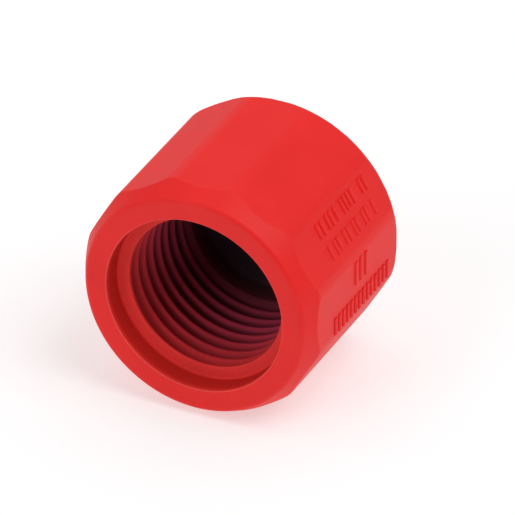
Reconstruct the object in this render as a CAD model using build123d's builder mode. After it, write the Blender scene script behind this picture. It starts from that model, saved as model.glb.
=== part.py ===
"""Threaded protection cap for a G 1/2 pipe thread, moulded in one piece.

A blind cap with twelve grip flats and turned ends. The mouth faces -Y and the
closed end +Y, and the cap lies on one of its flats, so +Z is up and z = 0 is
what it lies on. Lengths are in millimetres and angles in degrees.
"""
from build123d import *
from math import cos, radians, tan
import os

# Outside
FLATS = 12
ACROSS_FLATS = 28.3
LENGTH = 23.0
RIDGE_RADIUS = 3.0           # rounding of the ridge between two flats

# Turned ends: a cone leads from the front face to the flats, and a large
# rounding leads from the flats to the closed end. Both trim the ridges.
FRONT_FACE_RADIUS = 13.2
FRONT_CONE_ANGLE = 27.0      # lean of the cone from the cap's axis
FRONT_EDGE_RADIUS = 0.7
BACK_ROUNDING = 2.0
CONE_END_RADIUS = 0.3        # soft edge where the cone meets the flats and ridges

# Hollow, with its depths measured from the mouth
COUNTERBORE_RADIUS = 10.65   # clears the 20.955 mm crests of a G 1/2 pipe thread
COUNTERBORE_DEPTH = 2.9
THREAD_RADIUS = 9.316        # G 1/2: 18.631 mm across the crests of the inner thread
THREAD_END_DEPTH = 17.5
END_RADIUS = 9.0             # plain end of the hollow, past the last turn
HOLLOW_DEPTH = 20.4
FLOOR_CORNER_RADIUS = 0.8
MOUTH_EDGE_RADIUS = 0.25

# Shallow dish that keeps the moulding gate below the closed end
GATE_DISH_RADIUS = 2.0
GATE_DISH_DEPTH = 0.35

HALF_STEP = 180 / FLATS
AXIS_HEIGHT = ACROSS_FLATS / 2
MOUTH_Y = -LENGTH / 2
CLOSED_END_Y = LENGTH / 2

# The turned blank is a touch wider than the ridges, so it trims only the ends.
RIDGE_TOP = (ACROSS_FLATS / 2 - RIDGE_RADIUS) / cos(radians(HALF_STEP)) + RIDGE_RADIUS
BLANK_RADIUS = RIDGE_TOP + 0.05
CONE_DEPTH = (BLANK_RADIUS - FRONT_FACE_RADIUS) / tan(radians(FRONT_CONE_ANGLE))

# Looks into the mouth, along the cap's axis.
mouth_plane = Plane((0, MOUTH_Y, AXIS_HEIGHT), x_dir=(1, 0, 0), z_dir=(0, 1, 0))
# Half of a lengthwise section: X runs outwards from the axis, Y into the cap.
section_plane = Plane((0, MOUTH_Y, AXIS_HEIGHT), x_dir=(1, 0, 0), z_dir=(0, 0, 1))
cap_axis = Axis((0, MOUTH_Y, AXIS_HEIGHT), (0, 1, 0))

with BuildPart() as cap:
    # A prism with twelve flats, one of them underneath, and rounded ridges.
    with BuildSketch(mouth_plane) as flats_outline:
        RegularPolygon(ACROSS_FLATS / 2, FLATS, major_radius=False, rotation=HALF_STEP)
        fillet(flats_outline.vertices(), RIDGE_RADIUS)
    extrude(amount=LENGTH)

    # The turned blank that trims the prism at both ends.
    with BuildSketch(section_plane) as blank_section:
        with BuildLine():
            Polyline((0, 0), (FRONT_FACE_RADIUS, 0), (BLANK_RADIUS, CONE_DEPTH),
                (BLANK_RADIUS, LENGTH), (0, LENGTH), close=True)
        make_face()
        front_corner = blank_section.vertices().sort_by_distance((FRONT_FACE_RADIUS, 0))[0]
        fillet(front_corner, FRONT_EDGE_RADIUS)
        back_corner = blank_section.vertices().sort_by_distance((BLANK_RADIUS, LENGTH))[0]
        fillet(back_corner, BACK_ROUNDING)
    revolve(axis=cap_axis, mode=Mode.INTERSECT)
    cone_end = cap.edges().filter_by_position(Axis.Y, MOUTH_Y + 1.5, MOUTH_Y + CONE_DEPTH)
    fillet(cone_end, CONE_END_RADIUS)

    # The hollow: counterbore, thread bore, plain end and floor.
    with BuildSketch(section_plane):
        with BuildLine():
            Polyline((0, 0), (COUNTERBORE_RADIUS, 0), (COUNTERBORE_RADIUS, COUNTERBORE_DEPTH),
                (THREAD_RADIUS, COUNTERBORE_DEPTH), (THREAD_RADIUS, THREAD_END_DEPTH),
                (END_RADIUS, THREAD_END_DEPTH), (END_RADIUS, HOLLOW_DEPTH), (0, HOLLOW_DEPTH), close=True)
        make_face()
    revolve(axis=cap_axis, mode=Mode.SUBTRACT)
    floor_y = MOUTH_Y + HOLLOW_DEPTH
    floor_corner = cap.edges().filter_by(GeomType.CIRCLE).filter_by_position(Axis.Y, floor_y, floor_y)
    fillet(floor_corner, FLOOR_CORNER_RADIUS)
    front_face = cap.faces().sort_by(Axis.Y)[0]
    fillet(front_face.inner_wires()[0].edges(), MOUTH_EDGE_RADIUS)

    # The gate dish is part of a sphere.
    dish_sphere = (GATE_DISH_RADIUS**2 + GATE_DISH_DEPTH**2) / (2 * GATE_DISH_DEPTH)
    with Locations((0, CLOSED_END_Y + dish_sphere - GATE_DISH_DEPTH, AXIS_HEIGHT)):
        Sphere(dish_sphere, mode=Mode.SUBTRACT)

cap.part.label = "cap"
os.makedirs("parts", exist_ok=True)
export_step(cap.part, "parts/cap.step")
print("cap volume in cm3", round(cap.part.volume / 1000, 3))
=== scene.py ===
# %% [markdown]
# # A threaded protection cap
#
# This lesson dresses one small moulded part: a red plastic cap that screws over the end of a
# half-inch pipe thread and keeps dirt off it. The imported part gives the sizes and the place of
# everything. Its bore is plain, so the lesson models the whole cap again with its real thread,
# gives it a satin plastic finish, and sets up a small white studio round it.
#
# Run it in Blender 4.5. All lengths are in metres; `MM` turns millimetres into metres.

# %% Load the part as the frame
import math

import bpy
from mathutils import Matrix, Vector


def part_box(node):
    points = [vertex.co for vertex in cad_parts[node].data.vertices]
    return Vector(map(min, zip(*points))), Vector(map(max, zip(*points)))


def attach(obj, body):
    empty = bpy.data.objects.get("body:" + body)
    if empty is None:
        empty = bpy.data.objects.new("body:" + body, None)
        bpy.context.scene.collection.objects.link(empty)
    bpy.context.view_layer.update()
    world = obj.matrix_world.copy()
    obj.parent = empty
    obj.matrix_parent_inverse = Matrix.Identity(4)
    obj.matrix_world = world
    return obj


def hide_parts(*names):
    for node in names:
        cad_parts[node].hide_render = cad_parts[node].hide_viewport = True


MM = 0.001

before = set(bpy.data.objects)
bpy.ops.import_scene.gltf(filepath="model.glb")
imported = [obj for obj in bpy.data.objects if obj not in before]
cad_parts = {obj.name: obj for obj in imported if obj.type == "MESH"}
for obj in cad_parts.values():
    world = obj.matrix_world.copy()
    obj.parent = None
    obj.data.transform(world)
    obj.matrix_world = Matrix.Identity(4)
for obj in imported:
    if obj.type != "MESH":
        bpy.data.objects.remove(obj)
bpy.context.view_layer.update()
low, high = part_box("cap")
print("The cap's lowest corner, in mm:", [round(v / MM, 2) for v in low])
print("The cap's highest corner, in mm:", [round(v / MM, 2) for v in high])

# %% [markdown]
# ## The cap in its box
#
# The cap lies on one of its twelve flats with its mouth towards -Y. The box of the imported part
# gives the size across the flats, the length and the height of the axis. Every other size is
# named in the cell that first needs it.

# %% Name the main sizes
FLATS = 12
STEP = 2 * math.pi / FLATS
ACROSS_FLATS = high.z - low.z
AXIS_HEIGHT = (high.z + low.z) / 2
MOUTH = low.y
CLOSED_END = high.y
LENGTH = CLOSED_END - MOUTH
print("Across the flats", round(ACROSS_FLATS / MM, 2), "mm, long", round(LENGTH / MM, 2), "mm")

# %% [markdown]
# ## Small helpers
#
# Operators act on whatever is selected, so each step starts from a clean selection. The first
# helper selects one object, and the second picks edges in edit mode by their place. The next two
# mend a mesh: one merges vertices that lie together, the other turns every face outwards.


# %% Helpers for selecting and mending
def only(piece):
    """Make one object the only selected and active one."""
    bpy.ops.object.select_all(action="DESELECT")
    piece.select_set(True)
    bpy.context.view_layer.objects.active = piece


def pick_edges(piece, wanted):
    """In edit mode, select the edges for which wanted(start, end) is true, and count them."""
    bpy.ops.mesh.select_mode(type="EDGE")
    bpy.ops.mesh.select_all(action="DESELECT")
    bpy.ops.object.mode_set(mode="OBJECT")
    points = piece.data.vertices
    count = 0
    for edge in piece.data.edges:
        start, end = (points[i].co for i in edge.vertices)
        edge.select = bool(wanted(start, end))
        count += edge.select
    bpy.ops.object.mode_set(mode="EDIT")
    return count


def merge_close(distance):
    """In edit mode, merge the vertices that are no further apart than this."""
    bpy.ops.mesh.select_all(action="SELECT")
    bpy.ops.mesh.remove_doubles(threshold=distance)


def face_outwards():
    """In edit mode, turn every face of a closed mesh outwards."""
    bpy.ops.mesh.select_all(action="SELECT")
    bpy.ops.mesh.normals_make_consistent(inside=False)


def report(piece):
    """Print a piece's name and how many faces it has."""
    print(piece.name, "has", len(piece.data.polygons), "faces")


# %% [markdown]
# ## The outside: a prism with twelve grip flats
#
# The mould gives the cap twelve flats for the fingers or a spanner. A cylinder with twelve sides
# is that prism already; it only needs its ridges rounded. A bevel on the twelve long edges does
# it. A rounded edge of radius r starts r * tan(15 degrees) from a ridge between two such flats,
# and that distance is the bevel's offset. The prism is a little too long at both ends, which are
# trimmed later.

# %% Model the prism
RIDGE_RADIUS = 3.0 * MM
SPARE_LENGTH = 2 * MM

bpy.ops.object.select_all(action="DESELECT")
bpy.ops.mesh.primitive_cylinder_add(
    vertices=FLATS,
    radius=ACROSS_FLATS / 2 / math.cos(STEP / 2),
    depth=LENGTH + SPARE_LENGTH,
    end_fill_type="NGON",
    location=(0, (MOUTH + CLOSED_END) / 2, AXIS_HEIGHT),
    rotation=(math.pi / 2, STEP / 2, 0),
)
cap = bpy.context.object
cap.name = "cap_moulding"
bpy.ops.object.transform_apply(location=True, rotation=True, scale=True)

bpy.ops.object.mode_set(mode="EDIT")
ridges = pick_edges(cap, lambda a, b: abs(a.y - b.y) > LENGTH / 2)
bpy.ops.mesh.bevel(offset=RIDGE_RADIUS * math.tan(STEP / 2), segments=6, affect="EDGES")
bpy.ops.object.mode_set(mode="OBJECT")
print("Rounded", ridges, "ridges")
report(cap)

# %% [markdown]
# ## Round forms from outlines
#
# Everything round on the cap starts from an outline: half a lengthwise section, drawn upwards
# from the cap's axis as a chain of edges. It begins as a plane merged to a single point, which is
# then extruded from place to place, and is spun round the axis into a solid. Such solids shape
# the cap by booleans. A boolean leaves edges of almost no length, so they are merged at once.

# %% Helpers for outlines and booleans
ROUND_STEPS = 144
SPIN_MERGE = 0.002 * MM
BOOLEAN_MERGE = 0.001 * MM
SLIVER = 0.0005 * MM


def at(radius, depth):
    """The place this far from the axis and this deep in the cap, straight above the axis."""
    return Vector((0, MOUTH + depth, AXIS_HEIGHT + radius))


def draw_outline(name, outline):
    """Draw a chain of edges through points (radius, depth), and stay in edit mode."""
    bpy.ops.object.select_all(action="DESELECT")
    bpy.ops.mesh.primitive_plane_add(size=MM, location=at(0, 0))
    piece = bpy.context.object
    piece.name = name
    bpy.ops.object.mode_set(mode="EDIT")
    bpy.ops.mesh.select_mode(type="VERT")
    bpy.ops.mesh.select_all(action="SELECT")
    bpy.ops.mesh.merge(type="CENTER")
    here = at(0, 0)
    for number, (radius, depth) in enumerate(outline):
        move = at(radius, depth) - here
        if number == 0:
            bpy.ops.transform.translate(value=move)
        else:
            bpy.ops.mesh.extrude_vertices_move(TRANSFORM_OT_translate={"value": move})
        here = at(radius, depth)
    return piece


def corner(centre, radius, start, stop, steps):
    """Points (radius, depth) of a rounded corner. 0 degrees is outwards, and 90 is deeper."""
    turns = [math.radians(start + (stop - start) * i / steps) for i in range(steps + 1)]
    return [(centre[0] + radius * math.cos(t), centre[1] + radius * math.sin(t)) for t in turns]


def spin_round(piece):
    """Spin an outline that starts and ends on the axis into a closed round form."""
    bpy.ops.mesh.select_all(action="SELECT")
    bpy.ops.mesh.spin(steps=ROUND_STEPS, angle=2 * math.pi, center=at(0, 0), axis=(0, 1, 0))
    merge_close(SPIN_MERGE)
    face_outwards()
    bpy.ops.object.mode_set(mode="OBJECT")
    bpy.ops.object.transform_apply(location=True, rotation=True, scale=True)
    report(piece)


def combine(piece, other, how):
    """Boolean the other object with the piece, throw the other away and merge what meets."""
    only(piece)
    boolean = piece.modifiers.new("boolean", "BOOLEAN")
    boolean.operation = how
    boolean.solver = "EXACT"
    boolean.object = other
    bpy.ops.object.modifier_apply(modifier=boolean.name)
    bpy.data.objects.remove(other)
    bpy.ops.object.mode_set(mode="EDIT")
    merge_close(BOOLEAN_MERGE)
    bpy.ops.mesh.dissolve_degenerate(threshold=SLIVER)
    bpy.ops.object.mode_set(mode="OBJECT")
    report(piece)


# %% [markdown]
# ## The turned ends
#
# At the mouth a cone leads from the face to the flats, and at the closed end a large rounding
# does. Both are round while the body has twelve sides, so they trim the ridges most and leave a
# row of arches along the flats. The cap is what the prism and a turned blank have in common. The
# blank is only just wider than the ridges. It also brings the shallow dish in the closed end,
# which keeps the moulding gate below the face.

# %% Spin the blank and trim the prism to it
RIDGE_TOP = (ACROSS_FLATS / 2 - RIDGE_RADIUS) / math.cos(STEP / 2) + RIDGE_RADIUS
BLANK_RADIUS = RIDGE_TOP + 0.05 * MM
FRONT_FACE_RADIUS = 13.2 * MM
FRONT_CONE_ANGLE = 27.0
FRONT_EDGE_RADIUS = 0.7 * MM
BACK_ROUNDING = 2.0 * MM
GATE_DISH_RADIUS = 2.0 * MM
GATE_DISH_DEPTH = 0.35 * MM

front_turn = math.radians(90 - FRONT_CONE_ANGLE)
front_edge = FRONT_FACE_RADIUS - FRONT_EDGE_RADIUS * math.tan(front_turn / 2)
cone_depth = (BLANK_RADIUS - FRONT_FACE_RADIUS) / math.tan(math.radians(FRONT_CONE_ANGLE))
dish_sphere = (GATE_DISH_RADIUS**2 + GATE_DISH_DEPTH**2) / (2 * GATE_DISH_DEPTH)
dish_rim = math.degrees(math.asin(GATE_DISH_RADIUS / dish_sphere))
blank = draw_outline(
    "blank",
    [
        (0, 0),
        *corner((front_edge, FRONT_EDGE_RADIUS), FRONT_EDGE_RADIUS, -90, -FRONT_CONE_ANGLE, 6),
        (BLANK_RADIUS, cone_depth),
        *corner((BLANK_RADIUS - BACK_ROUNDING, LENGTH - BACK_ROUNDING), BACK_ROUNDING, 0, 90, 12),
        *corner((0, LENGTH - GATE_DISH_DEPTH + dish_sphere), dish_sphere, dish_rim - 90, -90, 6),
    ],
)
spin_round(blank)
combine(cap, blank, "INTERSECT")

# %% [markdown]
# ## Soft arches
#
# Moulded plastic has no knife edges. A Bevel modifier limited by angle finds the arches where the
# turned ends meet the flats. The ridges and the round forms turn only a few degrees at each
# step, so the limit leaves them alone. The bevel needs room, so the shortest edges along the
# arches are merged first.

# %% Soften the arches
ARCH_MERGE = 0.02 * MM
ARCH_SOFTNESS = 0.15 * MM
SHARPEST_KEPT = math.radians(12)

only(cap)
bpy.ops.object.mode_set(mode="EDIT")
merge_close(ARCH_MERGE)
bpy.ops.object.mode_set(mode="OBJECT")
soften = cap.modifiers.new("soft arches", "BEVEL")
soften.limit_method = "ANGLE"
soften.angle_limit = SHARPEST_KEPT
soften.width = ARCH_SOFTNESS
soften.segments = 3
soften.use_clamp_overlap = False
bpy.ops.object.modifier_apply(modifier=soften.name)
report(cap)

# %% [markdown]
# ## The drill
#
# The hollow is made by cutters, as a drill and a tap would make it. The drill leaves a
# counterbore with a rounded edge at the mouth, a shoulder with a soft corner and a soft edge, a
# short neck and a bore that are both too narrow for the thread, and a floor with a rounded
# corner. The tap widens them to the crests of the thread, which are those of a half-inch pipe
# thread: 18.631 mm across.

# %% Spin the drill and cut with it
COUNTERBORE_RADIUS = 10.65 * MM
COUNTERBORE_DEPTH = 2.9 * MM
MOUTH_EDGE_RADIUS = 0.25 * MM
SHOULDER_ROUNDING = 0.3 * MM
SHOULDER_EDGE_RADIUS = 0.15 * MM
THREAD_MINOR = 18.631 / 2 * MM
NECK_RADIUS = THREAD_MINOR - 0.05 * MM
NECK_END = COUNTERBORE_DEPTH + 0.6 * MM
BORE_RADIUS = 9.0 * MM
BORE_START = COUNTERBORE_DEPTH + 0.9 * MM
HOLLOW_DEPTH = 20.4 * MM
FLOOR_CORNER_RADIUS = 0.8 * MM
OVERSHOOT = 1 * MM

mouth_radius = COUNTERBORE_RADIUS + MOUTH_EDGE_RADIUS
drill = draw_outline(
    "drill",
    [
        (0, -OVERSHOOT),
        (mouth_radius, -OVERSHOOT),
        *corner((mouth_radius, MOUTH_EDGE_RADIUS), MOUTH_EDGE_RADIUS, -90, -180, 4),
        *corner(
            (COUNTERBORE_RADIUS - SHOULDER_ROUNDING, COUNTERBORE_DEPTH - SHOULDER_ROUNDING),
            SHOULDER_ROUNDING, 0, 90, 3,
        ),
        *corner(
            (NECK_RADIUS + SHOULDER_EDGE_RADIUS, COUNTERBORE_DEPTH + SHOULDER_EDGE_RADIUS),
            SHOULDER_EDGE_RADIUS, -90, -180, 4,
        ),
        (NECK_RADIUS, NECK_END),
        (BORE_RADIUS, BORE_START),
        *corner(
            (BORE_RADIUS - FLOOR_CORNER_RADIUS, HOLLOW_DEPTH - FLOOR_CORNER_RADIUS),
            FLOOR_CORNER_RADIUS, 0, 90, 4,
        ),
        (0, HOLLOW_DEPTH),
    ],
)
spin_round(drill)
combine(cap, drill, "DIFFERENCE")

# %% [markdown]
# ## The tap
#
# The thread is a groove that climbs one pitch with each turn, to the right as on nearly all pipe
# threads. Its form is the one that pipe threads have had for over a century: flanks at 27.5
# degrees, with the crests and the roots rounded alike. There are 14 turns to the inch, and the
# roots are 20.955 mm across. A Screw modifier turns one pitch of that form round the axis and
# lifts it by a pitch each turn, a few turns more than are needed. The turns are then merged into
# one skin, and a bisect at each end cuts off what is spare and closes it.

# %% Draw one pitch of the thread form and screw it
TURNS_PER_INCH = 14
PITCH = 25.4 / TURNS_PER_INCH * MM
THREAD_MAJOR = 20.955 / 2 * MM
THREAD_ROUNDING = 0.1373 * PITCH
THREAD_END = 17.5 * MM
FIRST_CREST = 0.3 * MM
FLANK_ANGLE = 27.5
THREAD_STEPS = 120
SPARE_TURNS = 2

half_arc = 90 - FLANK_ANGLE
tap = draw_outline(
    "tap",
    [
        *corner(
            (THREAD_MINOR + THREAD_ROUNDING, FIRST_CREST),
            THREAD_ROUNDING, 180, 180 - half_arc, 4,
        ),
        *corner(
            (THREAD_MAJOR - THREAD_ROUNDING, FIRST_CREST + PITCH / 2),
            THREAD_ROUNDING, -half_arc, half_arc, 8,
        ),
        *corner(
            (THREAD_MINOR + THREAD_ROUNDING, FIRST_CREST + PITCH),
            THREAD_ROUNDING, 180 + half_arc, 180, 4,
        ),
    ],
)
bpy.ops.object.mode_set(mode="OBJECT")

screw = tap.modifiers.new("thread", "SCREW")
screw.axis = "Y"
screw.angle = 2 * math.pi
screw.screw_offset = PITCH
screw.iterations = math.ceil(THREAD_END / PITCH) + SPARE_TURNS
screw.steps = screw.render_steps = THREAD_STEPS
bpy.ops.object.modifier_apply(modifier=screw.name)
bpy.ops.object.transform_apply(location=True, rotation=True, scale=True)

bpy.ops.object.mode_set(mode="EDIT")
merge_close(SPIN_MERGE)
for depth, side in [(COUNTERBORE_DEPTH - OVERSHOOT, -1), (THREAD_END + OVERSHOOT, 1)]:
    bpy.ops.mesh.select_all(action="SELECT")
    bpy.ops.mesh.bisect(
        plane_co=at(0, depth), plane_no=(0, side, 0), use_fill=True, clear_outer=True
    )
face_outwards()
bpy.ops.object.mode_set(mode="OBJECT")
report(tap)

# %% [markdown]
# ## The ends of the thread
#
# On a moulded cap the first turn grows out of the shoulder and the last one fades away. The same
# happens here: the tap is kept only where it lies inside a round sleeve whose two ends are cones.

# %% Taper the tap and cut the thread
SLEEVE_MARGIN = 0.1 * MM
FULL_THREAD_START = COUNTERBORE_DEPTH + 2 * MM
FULL_THREAD_END = THREAD_END - 1.5 * MM

sleeve = draw_outline(
    "sleeve",
    [
        (0, COUNTERBORE_DEPTH + SLEEVE_MARGIN),
        (NECK_RADIUS - SLEEVE_MARGIN, COUNTERBORE_DEPTH + SLEEVE_MARGIN),
        (THREAD_MAJOR + SLEEVE_MARGIN, FULL_THREAD_START),
        (THREAD_MAJOR + SLEEVE_MARGIN, FULL_THREAD_END),
        (BORE_RADIUS + SLEEVE_MARGIN, THREAD_END),
        (0, THREAD_END),
    ],
)
spin_round(sleeve)
combine(tap, sleeve, "INTERSECT")
combine(cap, tap, "DIFFERENCE")

# %% [markdown]
# ## Raised bars on two flats
#
# Such caps carry a few marks that stand a little proud of the flats. Here they are plain upright
# bars: two fine rows on one flat, a bolder row and a short group of taller bars on the next. A
# bar is a flattened cylinder whose axis lies just above the flat, so its top is round and catches
# the light softly. Its lower half is pulled down into the wall as a root. Copies of it make a
# row, and a boolean makes the rows one with the cap, because the mould makes them together.

# %% Helpers for a row of bars
BAR_AXIS = ACROSS_FLATS / 2 + 0.03 * MM
BAR_ROOT = 0.3 * MM
HAIR = 0.001 * MM


def add_bar(name, width, height, proud):
    """One upright bar with a round top, in the middle of the flat that faces +X, at depth 0."""
    bpy.ops.object.select_all(action="DESELECT")
    bpy.ops.mesh.primitive_cylinder_add(
        vertices=20,
        radius=1,
        depth=2,
        location=(BAR_AXIS, MOUTH, AXIS_HEIGHT),
        scale=(ACROSS_FLATS / 2 + proud - BAR_AXIS, width / 2, height / 2),
    )
    bar = bpy.context.object
    bar.name = name
    bpy.ops.object.transform_apply(location=True, rotation=True, scale=True)
    bpy.ops.object.mode_set(mode="EDIT")
    pick_edges(bar, lambda a, b: max(a.x, b.x) < BAR_AXIS - HAIR)
    bpy.ops.transform.translate(value=(-BAR_ROOT, 0, 0))
    bpy.ops.object.mode_set(mode="OBJECT")
    return bar


def row_of_bars(name, flat_angle, across, depths, width, height, proud):
    """Copies of one bar at each depth, moved across the flat and turned round to it."""
    bar = add_bar(name, width, height, proud)
    bpy.ops.object.mode_set(mode="EDIT")
    bpy.ops.mesh.select_all(action="SELECT")
    bpy.ops.transform.translate(value=(0, depths[0], across))
    for before, after in zip(depths, depths[1:]):
        bpy.ops.mesh.duplicate_move(TRANSFORM_OT_translate={"value": (0, after - before, 0)})
    bpy.ops.mesh.select_all(action="SELECT")
    # Without a window this operator turns the other way round than the angle says.
    bpy.ops.transform.rotate(value=flat_angle, orient_axis="Y", center_override=at(0, 0))
    bpy.ops.object.mode_set(mode="OBJECT")
    report(bar)
    return bar


# %% Add the rows
upper_depths = [d * MM for d in (7.6, 8.6, 9.9, 10.8, 11.9, 13.6, 14.4, 15.2, 16.1, 18.3, 19.2)]
lower_depths = [d * MM for d in (7.9, 9.2, 10.0, 11.5, 12.4, 13.8, 14.6, 16.2, 17.0, 18.7)]
bold_depths = [(6.4 + 1.02 * n) * MM for n in range(14)]
tall_depths = [(11.6 + 1.25 * n) * MM for n in range(3)]
rows = [
    row_of_bars(
        "fine_row_a", STEP, across=1.5 * MM, depths=upper_depths,
        width=0.55 * MM, height=1.7 * MM, proud=0.17 * MM,
    ),
    row_of_bars(
        "fine_row_b", STEP, across=-1.35 * MM, depths=lower_depths,
        width=0.55 * MM, height=1.7 * MM, proud=0.12 * MM,
    ),
    row_of_bars(
        "bold_row", 0, across=-2.35 * MM, depths=bold_depths,
        width=0.5 * MM, height=2.1 * MM, proud=0.2 * MM,
    ),
    row_of_bars(
        "tall_group", 0, across=1.6 * MM, depths=tall_depths,
        width=0.6 * MM, height=2.9 * MM, proud=0.2 * MM,
    ),
]
for row in rows:
    combine(cap, row, "UNION")

# %% [markdown]
# ## Smooth where the cap is round, crisp where it is not
#
# Smooth shading by angle keeps the lines where two forms meet crisp. Weighted normals then let
# the large flats stay flat, so only the narrow rounded edges turn the light.

# %% Shade the cap
CRISP_FROM = math.radians(28)

only(cap)
bpy.ops.object.shade_smooth_by_angle(angle=CRISP_FROM)
weighted = cap.modifiers.new("weighted normals", "WEIGHTED_NORMAL")
weighted.keep_sharp = True
weighted.weight = 60
bpy.ops.object.modifier_apply(modifier=weighted.name)
report(cap)

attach(cap, "root")
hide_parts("cap")

# %% [markdown]
# ## Satin plastic
#
# The cap is coloured through and leaves the mould with a satin skin: an even red, slightly
# cloudy, with a fine grain that softens every highlight. A node group makes the grain and the
# clouds once, so that the outside and the hollow can share them at different strengths.


# %% Build the plastic skin group
def build_skin_group():
    """Colour, roughness and normal of moulded plastic, from the place on the object."""
    group = bpy.data.node_groups.new("moulded skin", "ShaderNodeTree")
    sockets = group.interface
    for name, kind, default in [
        ("Colour", "NodeSocketColor", (0.7, 0.02, 0.02, 1)),
        ("Cloud Colour", "NodeSocketColor", (0.8, 0.03, 0.03, 1)),
        ("Roughness", "NodeSocketFloat", 0.45),
        ("Grain Size", "NodeSocketFloat", 4000.0),
        ("Grain", "NodeSocketFloat", 0.1),
    ]:
        sockets.new_socket(name=name, in_out="INPUT", socket_type=kind).default_value = default
    for name, kind in [
        ("Colour", "NodeSocketColor"),
        ("Roughness", "NodeSocketFloat"),
        ("Normal", "NodeSocketVector"),
    ]:
        sockets.new_socket(name=name, in_out="OUTPUT", socket_type=kind)

    nodes, links = group.nodes, group.links
    enter, leave = nodes.new("NodeGroupInput"), nodes.new("NodeGroupOutput")
    place = nodes.new("ShaderNodeTexCoord")

    clouds = nodes.new("ShaderNodeTexNoise")
    clouds.inputs["Scale"].default_value = 160
    clouds.inputs["Detail"].default_value = 3
    spread = nodes.new("ShaderNodeMapRange")
    spread.inputs["From Min"].default_value = 0.35
    spread.inputs["From Max"].default_value = 0.7
    tint = nodes.new("ShaderNodeMix")
    tint.data_type = "RGBA"

    grain = nodes.new("ShaderNodeTexNoise")
    grain.inputs["Detail"].default_value = 2
    bump = nodes.new("ShaderNodeBump")
    bump.inputs["Distance"].default_value = 0.02 * MM

    # The clouds also make the plastic a little rougher in places.
    rough = nodes.new("ShaderNodeMath")
    rough.operation = "MULTIPLY_ADD"
    rough.inputs[1].default_value = 0.12

    links.new(place.outputs["Object"], clouds.inputs["Vector"])
    links.new(place.outputs["Object"], grain.inputs["Vector"])
    links.new(clouds.outputs["Fac"], spread.inputs["Value"])
    links.new(spread.outputs["Result"], tint.inputs["Factor"])
    links.new(enter.outputs["Colour"], tint.inputs["A"])
    links.new(enter.outputs["Cloud Colour"], tint.inputs["B"])
    links.new(tint.outputs["Result"], leave.inputs["Colour"])
    links.new(enter.outputs["Grain Size"], grain.inputs["Scale"])
    links.new(enter.outputs["Grain"], bump.inputs["Strength"])
    links.new(grain.outputs["Fac"], bump.inputs["Height"])
    links.new(bump.outputs["Normal"], leave.inputs["Normal"])
    links.new(clouds.outputs["Fac"], rough.inputs[0])
    links.new(enter.outputs["Roughness"], rough.inputs[2])
    links.new(rough.outputs["Value"], leave.inputs["Roughness"])
    return group


skin_group = build_skin_group()
print("The skin group has", len(skin_group.nodes), "nodes")
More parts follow.
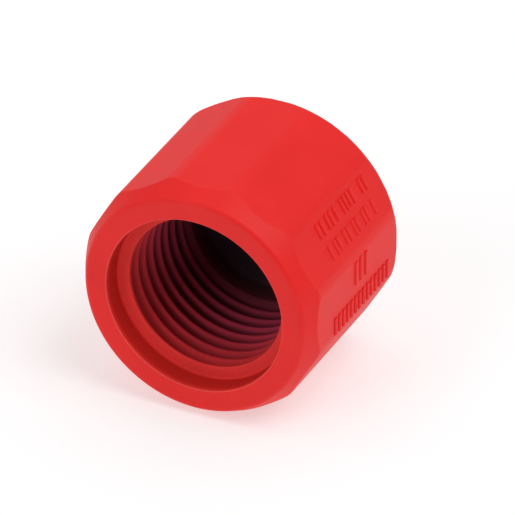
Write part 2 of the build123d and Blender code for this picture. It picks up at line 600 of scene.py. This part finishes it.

# %% [markdown]
# ## Painted shade in the hollow
#
# Deep plastic holes look darker than white surroundings alone would make them, and this one is
# darkest in its grooves. Here that darkness is painted shade: a second group tints the plastic by
# the place on the object. A colour ramp runs from the mouth to the floor, and past the shoulder a
# second range paints shade into the roots of the thread, more so the deeper they lie.


# %% Build the painted hollow shade group
def build_painted_hollow_shade_group():
    """A colour with painted shade: dimmed by the depth in the cap and by the distance from its
    axis.
    """
    group = bpy.data.node_groups.new("painted hollow shade", "ShaderNodeTree")
    group.interface.new_socket(name="Colour", in_out="INPUT", socket_type="NodeSocketColor")
    group.interface.new_socket(name="Colour", in_out="OUTPUT", socket_type="NodeSocketColor")
    nodes, links = group.nodes, group.links
    enter, leave = nodes.new("NodeGroupInput"), nodes.new("NodeGroupOutput")
    place = nodes.new("ShaderNodeTexCoord")

    # Moved to the middle of the mouth, so that Y is the depth and X and Z lead from the axis.
    moved = nodes.new("ShaderNodeVectorMath")
    moved.operation = "SUBTRACT"
    moved.inputs[1].default_value = at(0, 0)
    parts = nodes.new("ShaderNodeSeparateXYZ")
    depth = nodes.new("ShaderNodeMapRange")
    depth.inputs["From Max"].default_value = HOLLOW_DEPTH
    ramp = nodes.new("ShaderNodeValToRGB")
    # Each stop is a depth in millimetres and the colour there. The first stops paint a highlight
    # line on the mouth edge, the stop at 2.9 mm paints light on the shoulder, and the rest paint
    # shade that deepens to near black at the floor, with a purple cast from 8 to 16 mm.
    stops = [
        (0.0, (1.0, 0.13, 0.11)),
        (0.12, (0.85, 0.04, 0.034)),
        (0.7, (0.64, 0.023, 0.018)),
        (2.4, (0.56, 0.021, 0.016)),
        (2.9, (0.95, 0.055, 0.05)),
        (3.3, (0.74, 0.04, 0.04)),
        (8.0, (0.74, 0.055, 0.085)),
        (12.0, (0.62, 0.058, 0.12)),
        (16.0, (0.42, 0.045, 0.085)),
        (18.0, (0.16, 0.035, 0.05)),
        (20.4, (0.06, 0.04, 0.055)),
    ]
    while len(ramp.color_ramp.elements) < len(stops):
        ramp.color_ramp.elements.new(0.5)
    for element, (deep, colour) in zip(ramp.color_ramp.elements, stops):
        element.position = deep * MM / HOLLOW_DEPTH
        element.color = (*colour, 1)

    across = nodes.new("ShaderNodeVectorMath")
    across.operation = "MULTIPLY"
    across.inputs[1].default_value = (1, 0, 1)
    radius = nodes.new("ShaderNodeVectorMath")
    radius.operation = "LENGTH"
    # Painted shade in the roots of the thread: the further a face lies from the axis, the darker.
    groove = nodes.new("ShaderNodeMapRange")
    groove.interpolation_type = "SMOOTHSTEP"
    groove.inputs["From Min"].default_value = THREAD_MINOR + 0.12 * MM
    groove.inputs["From Max"].default_value = THREAD_MINOR + 0.65 * MM
    groove.inputs["To Min"].default_value = 1.0
    groove_shade_strength = nodes.new("ShaderNodeMapRange")
    groove_shade_strength.inputs["From Min"].default_value = 3 * MM
    groove_shade_strength.inputs["From Max"].default_value = 11 * MM
    groove_shade_strength.inputs["To Min"].default_value = 0.85
    groove_shade_strength.inputs["To Max"].default_value = 0.3

    # The counterbore is wider than the grooves, but isn't one of them, so it gets no painted
    # groove shade.
    past = nodes.new("ShaderNodeMath")
    past.operation = "GREATER_THAN"
    past.inputs[1].default_value = COUNTERBORE_DEPTH + 0.05 * MM
    only_thread = nodes.new("ShaderNodeMix")
    only_thread.inputs["A"].default_value = 1.0

    # These two multiply the painted shade of depth and of the grooves into the colour.
    shade_by_depth = nodes.new("ShaderNodeMix")
    shade_in_grooves = nodes.new("ShaderNodeMix")
    for mix in (shade_by_depth, shade_in_grooves):
        mix.data_type = "RGBA"
        mix.blend_type = "MULTIPLY"
        mix.inputs["Factor"].default_value = 1.0

    links.new(place.outputs["Object"], moved.inputs[0])
    links.new(moved.outputs["Vector"], parts.inputs["Vector"])
    links.new(moved.outputs["Vector"], across.inputs[0])
    links.new(parts.outputs["Y"], depth.inputs["Value"])
    links.new(parts.outputs["Y"], past.inputs[0])
    links.new(parts.outputs["Y"], groove_shade_strength.inputs["Value"])
    links.new(groove_shade_strength.outputs["Result"], groove.inputs["To Max"])
    links.new(depth.outputs["Result"], ramp.inputs["Fac"])
    links.new(across.outputs["Vector"], radius.inputs[0])
    links.new(radius.outputs["Value"], groove.inputs["Value"])
    links.new(past.outputs["Value"], only_thread.inputs["Factor"])
    links.new(groove.outputs["Result"], only_thread.inputs["B"])
    links.new(enter.outputs["Colour"], shade_by_depth.inputs["A"])
    links.new(ramp.outputs["Color"], shade_by_depth.inputs["B"])
    links.new(shade_by_depth.outputs["Result"], shade_in_grooves.inputs["A"])
    links.new(only_thread.outputs["Result"], shade_in_grooves.inputs["B"])
    links.new(shade_in_grooves.outputs["Result"], leave.inputs["Colour"])
    return group


painted_hollow_shade_group = build_painted_hollow_shade_group()
print("The tint group has", len(painted_hollow_shade_group.nodes), "nodes")

# %% [markdown]
# ## One plastic, inside and out, with painted shade in the hollow
#
# The outside takes the red from the skin group as it comes. In the hollow the skin is nearly
# white and passes through the painted shade group, which gives it its colour, painted shade and
# painted highlights at each depth. Little light glances off the walls in there, so the hollow
# also has less shine.


# %% Make the outside and the hollow materials
def plastic(name, colour, cloud_colour, roughness, grain_size, grain, shine):
    """A plastic that takes its clouds and grain from the skin group."""
    material = bpy.data.materials.new(name)
    material.use_nodes = True
    nodes, links = material.node_tree.nodes, material.node_tree.links
    shader = nodes["Principled BSDF"]
    skin = nodes.new("ShaderNodeGroup")
    skin.node_tree = skin_group
    skin.inputs["Colour"].default_value = (*colour, 1)
    skin.inputs["Cloud Colour"].default_value = (*cloud_colour, 1)
    skin.inputs["Roughness"].default_value = roughness
    skin.inputs["Grain Size"].default_value = grain_size
    skin.inputs["Grain"].default_value = grain
    links.new(skin.outputs["Colour"], shader.inputs["Base Color"])
    links.new(skin.outputs["Roughness"], shader.inputs["Roughness"])
    links.new(skin.outputs["Normal"], shader.inputs["Normal"])
    shader.inputs["IOR"].default_value = 1.49
    shader.inputs["Specular IOR Level"].default_value = shine
    return material


outside_plastic = plastic(
    "satin red plastic", colour=(0.84, 0.005, 0.004), cloud_colour=(0.88, 0.009, 0.007),
    roughness=0.5, grain_size=5200, grain=0.2, shine=0.4,
)
hollow_plastic_painted_shade = plastic(
    "red plastic with painted shade", colour=(0.92, 0.92, 0.92), cloud_colour=(1.0, 1.0, 1.0),
    roughness=0.55, grain_size=3600, grain=0.1, shine=0.08,
)
hollow_nodes, hollow_links = hollow_plastic_painted_shade.node_tree.nodes, hollow_plastic_painted_shade.node_tree.links
hollow_colour = hollow_nodes["Principled BSDF"].inputs["Base Color"]
skin_colour = hollow_colour.links[0].from_socket
# The hollow's colour passes through the group that paints its shade and highlights.
tint = hollow_nodes.new("ShaderNodeGroup")
tint.node_tree = painted_hollow_shade_group
hollow_links.new(skin_colour, tint.inputs["Colour"])
hollow_links.new(tint.outputs["Colour"], hollow_colour)

cap.data.materials.clear()
cap.data.materials.append(outside_plastic)
cap.data.materials.append(hollow_plastic_painted_shade)

# %% Give the hollow its faces
JUST_INSIDE = 0.01 * MM
DEPTH_MARGIN = 0.1 * MM
RADIUS_MARGIN = 0.2 * MM


def in_hollow(centre):
    """Whether a face with this centre belongs to the hollow."""
    depth = centre.y - MOUTH
    radius = math.hypot(centre.x, centre.z - AXIS_HEIGHT)
    deep_enough = JUST_INSIDE < depth < HOLLOW_DEPTH + DEPTH_MARGIN
    return deep_enough and radius < COUNTERBORE_RADIUS + RADIUS_MARGIN


hollow_faces = 0
for face in cap.data.polygons:
    face.material_index = 1 if in_hollow(face.center) else 0
    hollow_faces += face.material_index
print(hollow_faces, "faces lie in the hollow")

# %% [markdown]
# ## The camera
#
# A long lens from a metre away looks down into the mouth a little from the right, so the sides of
# the cap hardly converge. The camera aims a little to the right of the mouth and above it, so
# that the mouth sits left of the middle of the view.

# %% Set up the camera
AZIMUTH = math.radians(25.8)
ELEVATION = math.radians(31.87)
DISTANCE = 1.0
VIEW_WIDTH = 56.28 * MM
SENSOR_WIDTH = 36
# How far from the middle of the mouth the camera aims, in millimetres.
AIM_RIGHT = 7.01
AIM_UP = 5.31

towards = Vector(
    (
        math.sin(AZIMUTH) * math.cos(ELEVATION),
        -math.cos(AZIMUTH) * math.cos(ELEVATION),
        math.sin(ELEVATION),
    )
)
right = Vector((math.cos(AZIMUTH), math.sin(AZIMUTH), 0))
up = towards.cross(right)
target = at(0, 0) + right * AIM_RIGHT * MM + up * AIM_UP * MM

camera_data = bpy.data.cameras.new("camera")
camera_data.sensor_width = SENSOR_WIDTH
camera_data.lens = SENSOR_WIDTH * DISTANCE / VIEW_WIDTH
camera_data.clip_start = 0.01
camera = bpy.data.objects.new("camera", camera_data)
bpy.context.scene.collection.objects.link(camera)
camera.location = target + towards * DISTANCE
camera.rotation_euler = towards.to_track_quat("Z", "Y").to_euler()
bpy.context.scene.camera = camera
print("The lens is", round(camera_data.lens), "mm long")

# %% [markdown]
# ## The studio
#
# The cap lies on a plain white sheet, as for a catalogue. The sheet glows a little, which keeps it
# white and leaves only a faint shadow. A large soft lamp hangs above the cap and another in
# front, and a small one behind draws a faint sheen along a ridge.

# %% Lay the floor
PAPER_GREY = 0.55
PAPER_GLOW = 0.51

bpy.ops.object.select_all(action="DESELECT")
bpy.ops.mesh.primitive_plane_add(size=3, location=(0, 0, 0))
floor = bpy.context.object
floor.name = "studio_floor"
paper = bpy.data.materials.new("white paper")
paper.use_nodes = True
paper_inputs = paper.node_tree.nodes["Principled BSDF"].inputs
paper_inputs["Base Color"].default_value = (PAPER_GREY, PAPER_GREY, PAPER_GREY, 1)
paper_inputs["Emission Color"].default_value = (1, 1, 1, 1)
paper_inputs["Emission Strength"].default_value = PAPER_GLOW
paper_inputs["Roughness"].default_value = 0.9
paper_inputs["Specular IOR Level"].default_value = 0.0
floor.data.materials.append(paper)
print("The sheet is", round(floor.dimensions.x, 1), "m wide")

# %% Hang the lamps
centre = Vector((0, 0, AXIS_HEIGHT))


def lamp(name, place, size, power, shine=0.3):
    """Hang a square area lamp, size in metres and power in watts, that points at the cap."""
    data = bpy.data.lights.new(name, "AREA")
    data.size = size
    data.energy = power
    data.specular_factor = shine
    holder = bpy.data.objects.new(name, data)
    bpy.context.scene.collection.objects.link(holder)
    holder.location = place
    holder.rotation_euler = (centre - Vector(place)).to_track_quat("-Z", "Y").to_euler()
    print("The", name, "gives", power, "W")


lamp("top lamp", (0.42, -0.1, 0.7), size=0.5, power=2.9)
lamp("front lamp", (-0.3, -0.8, 0.6), size=0.5, power=2.15)
lamp("ridge lamp", (-0.47, 0.61, 0.24), size=0.12, power=0.15, shine=1.0)

# %% [markdown]
# ## White surroundings
#
# The surroundings are white overhead and greyer towards the horizon. They fade to dark round the
# camera, because the hollow faces that way and has to stay dark. Both come from the direction in
# which a ray leaves: its height, and how far it turns away from the camera's side.

# %% Light the surroundings
DARK_WITHIN = math.radians(25)
WHITE_BEYOND = math.radians(60)

world = bpy.data.worlds.new("white surroundings")
world.use_nodes = True
world_nodes, world_links = world.node_tree.nodes, world.node_tree.links
background = world_nodes["Background"]
direction = world_nodes.new("ShaderNodeTexCoord")
facing = world_nodes.new("ShaderNodeVectorMath")
facing.operation = "DOT_PRODUCT"
facing.inputs[1].default_value = towards
dimmer = world_nodes.new("ShaderNodeMapRange")
dimmer.interpolation_type = "SMOOTHSTEP"
dimmer.inputs["From Min"].default_value = math.cos(WHITE_BEYOND)
dimmer.inputs["From Max"].default_value = math.cos(DARK_WITHIN)
dimmer.inputs["To Min"].default_value = 0.95
dimmer.inputs["To Max"].default_value = 0.0
height = world_nodes.new("ShaderNodeSeparateXYZ")
sky = world_nodes.new("ShaderNodeMapRange")
sky.inputs["To Min"].default_value = 0.25
sky.inputs["To Max"].default_value = 0.95
strength = world_nodes.new("ShaderNodeMath")
strength.operation = "MULTIPLY"
world_links.new(direction.outputs["Generated"], facing.inputs[0])
world_links.new(facing.outputs["Value"], dimmer.inputs["Value"])
world_links.new(direction.outputs["Generated"], height.inputs["Vector"])
world_links.new(height.outputs["Z"], sky.inputs["Value"])
world_links.new(sky.outputs["Result"], strength.inputs[0])
world_links.new(dimmer.outputs["Result"], strength.inputs[1])
world_links.new(strength.outputs["Value"], background.inputs["Strength"])
background.inputs["Color"].default_value = (1, 1, 1, 1)
bpy.context.scene.world = world
bpy.context.scene.view_settings.view_transform = "Standard"
print("The surroundings have", len(world_nodes), "nodes")
